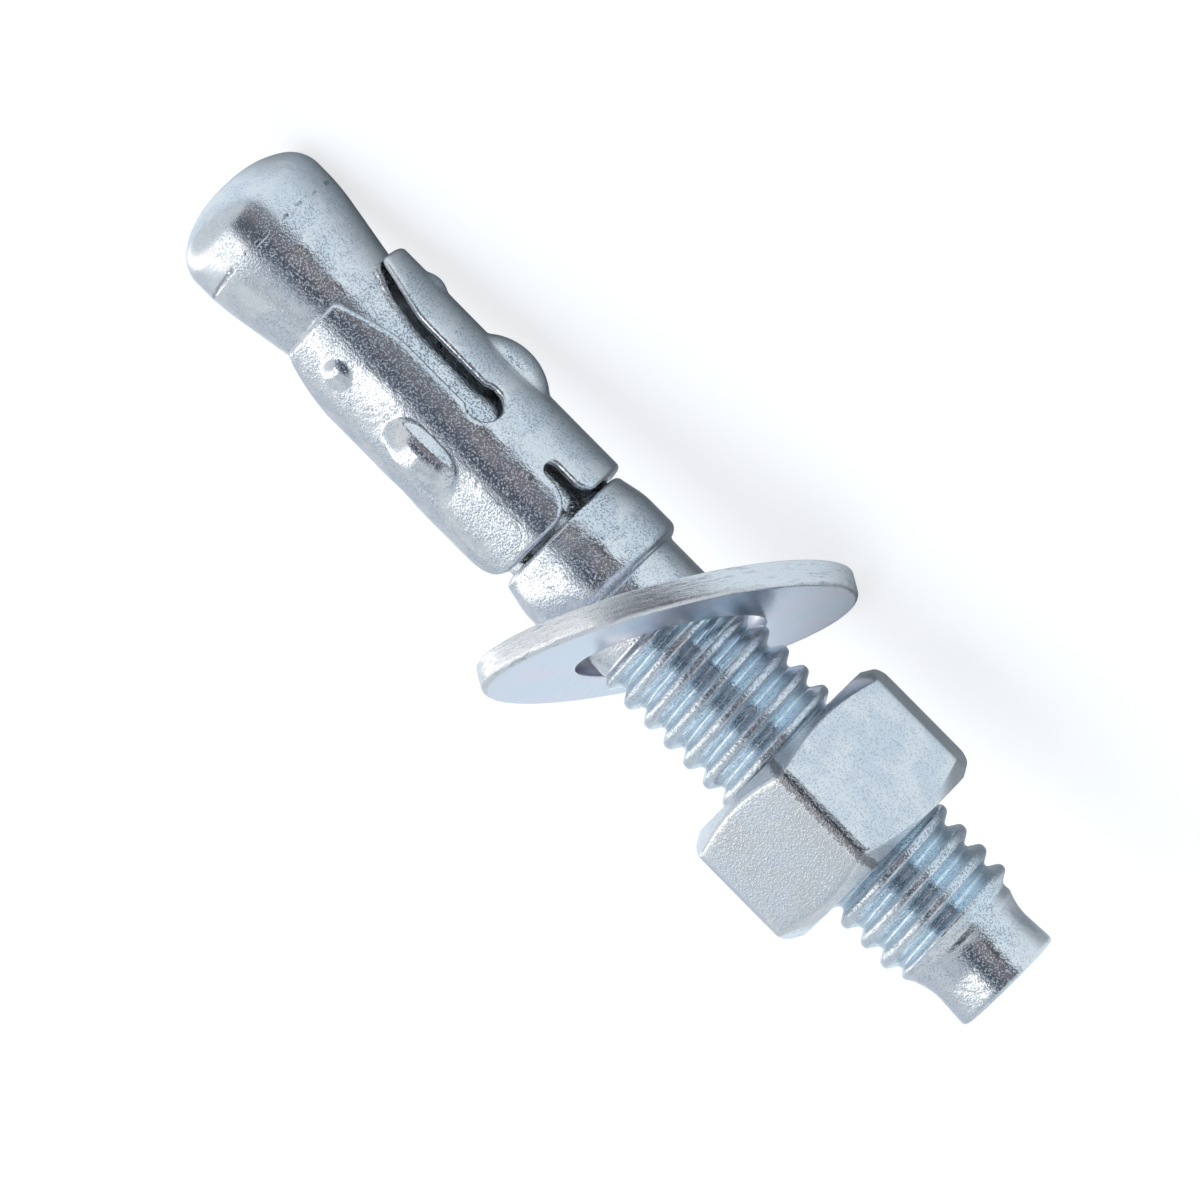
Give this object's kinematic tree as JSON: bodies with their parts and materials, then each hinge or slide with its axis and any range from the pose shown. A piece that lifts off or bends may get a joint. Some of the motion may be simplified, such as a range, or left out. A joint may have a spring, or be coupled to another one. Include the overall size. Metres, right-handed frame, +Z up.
{
  "type": "wedge anchor",
  "caption": "Zinc-plated steel wedge anchor for concrete: threaded stud with a cone head, split expansion clip, flat washer and hex nut.",
  "frame": {"origin": "on the table, under the middle of the anchor's outer box", "axes": "+X towards the cone head, seen from above; +Z up from the table; the anchor's axis falls 7.6 degrees below +X, because it rests on its cone head and on the rim of its leaning washer"},
  "size_m": [0.0636, 0.022, 0.0195],
  "materials": {
    "stud_zinc": "zinc-plated cold-formed steel with a bluish tint, satin, bright on the cone head",
    "clip_zinc": "zinc-plated sheet steel, satin and slightly speckled",
    "washer_zinc": "zinc-plated sheet steel, pale blue with fine brushed scratches and a bright edge",
    "nut_zinc": "zinc-plated steel, satin and slightly speckled, worn at the corners"
  },
  "bodies": {
    "stud": {"anchor_stud": "stud_zinc"},
    "clip": {"expansion_clip": "clip_zinc"},
    "nut": {"hex_nut": "nut_zinc"},
    "washer": {"flat_washer": "washer_zinc"}
  },
  "joints": [
    {"name": "clip_turn", "type": "hinge", "parent": "stud", "child": "clip", "pos_m": [0.01341, 0, 0.00691], "axis": [0.9912, 0, -0.1324], "range_deg": [-3240, 360]},
    {"name": "nut_travel", "type": "slide", "parent": "clip", "child": "nut", "axis": [0.9912, 0, -0.1324], "range_m": [-0.01429, 0.00159]},
    {"name": "washer_slide", "type": "slide", "parent": "stud", "child": "washer", "axis": [0.9912, 0, -0.1324], "range_m": [-0.001, 0]}
  ],
  "couplings": [
    {"joint": "clip_turn", "follows": "nut_travel", "rad_per_m": 3957.9}
  ]
}
